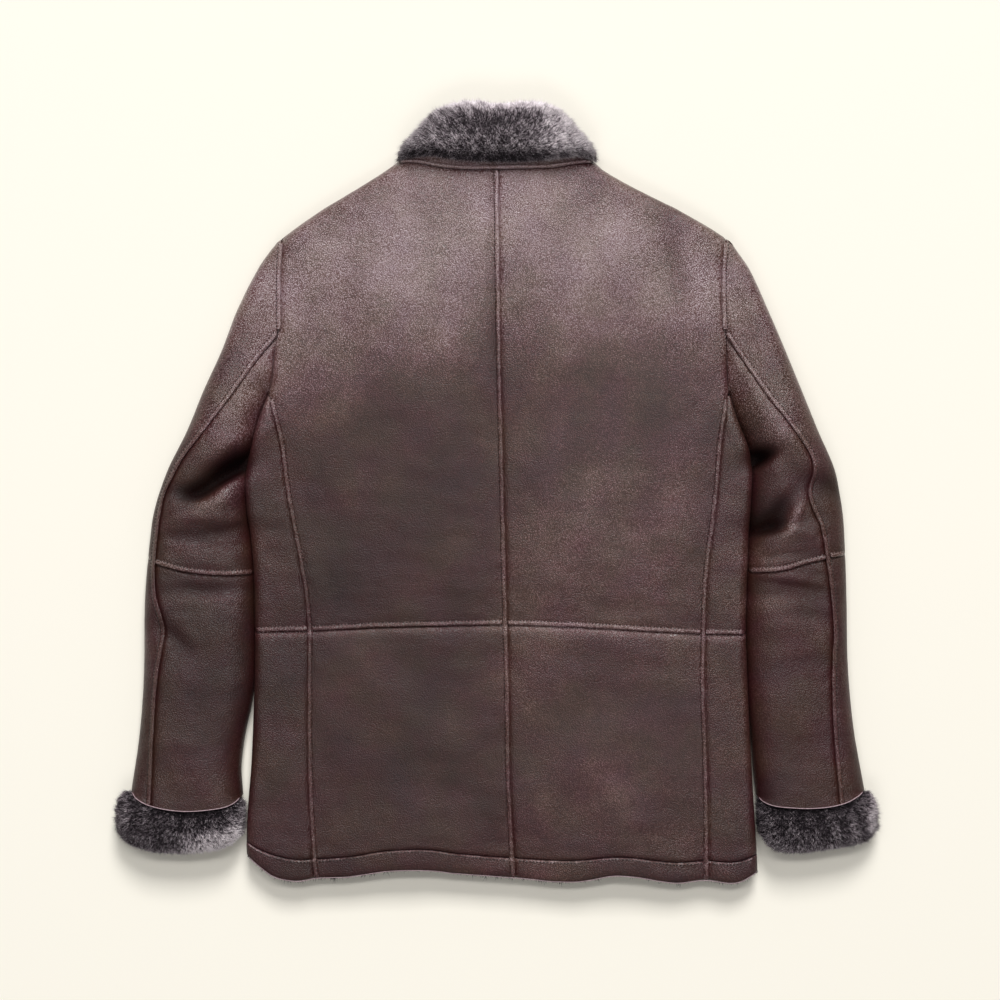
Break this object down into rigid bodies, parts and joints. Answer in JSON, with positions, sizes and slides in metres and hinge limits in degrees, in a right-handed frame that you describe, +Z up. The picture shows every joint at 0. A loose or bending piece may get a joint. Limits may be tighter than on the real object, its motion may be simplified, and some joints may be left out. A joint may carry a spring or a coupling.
{
  "type": "shearling coat",
  "caption": "Hip-length shearling coat lying face down, its back seen from above, with a turned-down fur collar, turned-back fur cuffs and raised strips over its seams.",
  "frame": {"origin": "middle of the bounding box in plan, at the surface that the coat lies on", "axes": "+Z up out of the coat's back, +Y from the hem to the collar, +X to the right as the back is seen from above"},
  "size_m": [0.8059, 0.8213, 0.056],
  "materials": {
    "skin": "dark brown grained skin side with a soft satin sheen",
    "fur": "long wool pile, near-black roots and silver grey tips",
    "cut_edge": "raw cut edge of the skin, pale and matt"
  },
  "bodies": {
    "root": {"back_upper_left": "skin", "back_upper_right": "skin", "back_lower_left": "skin", "back_lower_right": "skin", "hem_back_left": "skin", "hem_back_right": "skin", "front_left": "skin", "front_right": "skin", "side_upper_left": "skin", "side_upper_right": "skin", "side_lower_left": "skin", "side_lower_right": "skin", "hem_side_left": "skin", "hem_side_right": "skin", "sleeve_upper_outer_left": "skin", "sleeve_upper_outer_right": "skin", "sleeve_upper_inner_left": "skin", "sleeve_upper_inner_right": "skin", "sleeve_lower_outer_left": "skin", "sleeve_lower_outer_right": "skin", "sleeve_lower_inner_left": "skin", "sleeve_lower_inner_right": "skin", "cuff_fur_left": "fur", "cuff_fur_right": "fur", "cuff_edge_left": "cut_edge", "cuff_edge_right": "cut_edge", "collar_stand": "skin", "collar_fall": "fur", "welt_neck": "skin", "welt_centre": "skin", "welt_side_left": "skin", "welt_side_right": "skin", "welt_waist_back_left": "skin", "welt_waist_back_right": "skin", "welt_waist_side_left": "skin", "welt_waist_side_right": "skin", "welt_armhole_left": "skin", "welt_armhole_right": "skin", "welt_sleeve_left": "skin", "welt_sleeve_right": "skin", "welt_elbow_outer_left": "skin", "welt_elbow_outer_right": "skin", "welt_elbow_inner_left": "skin", "welt_elbow_inner_right": "skin"}
  },
  "joints": []
}
